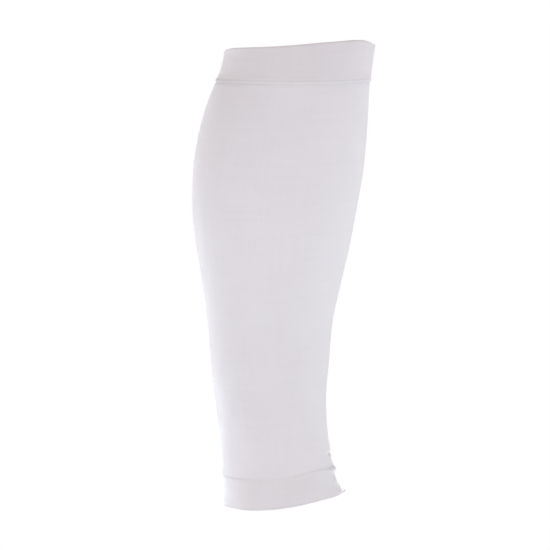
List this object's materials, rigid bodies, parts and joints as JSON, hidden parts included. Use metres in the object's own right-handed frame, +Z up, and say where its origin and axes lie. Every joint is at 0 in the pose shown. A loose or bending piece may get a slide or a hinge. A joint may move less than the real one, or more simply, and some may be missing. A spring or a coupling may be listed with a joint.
{
  "type": "calf compression sleeve",
  "caption": "Footless knitted compression sleeve for the lower leg, a tapering tube with a deep doubled band below the knee and a doubled ankle band.",
  "frame": {"origin": "middle of the leg at the height where the calf is fullest, 246 mm above the ankle hem at the heel", "axes": "+Z up the leg to the knee, +X towards the shin, +Y towards the inner side of a right leg"},
  "size_m": [0.1315, 0.117, 0.3378],
  "materials": {
    "band_knit": "fine doubled elastic knit, off-white with a cool lilac cast, matte",
    "leg_knit": "fine single elastic knit with level courses, off-white with a cool lilac cast, soft sheen",
    "cuff_knit": "fine doubled elastic knit, off-white with a cool lilac cast, matte"
  },
  "bodies": {
    "root": {"top_band": "band_knit", "leg_tube": "leg_knit", "ankle_band": "cuff_knit"}
  },
  "joints": []
}
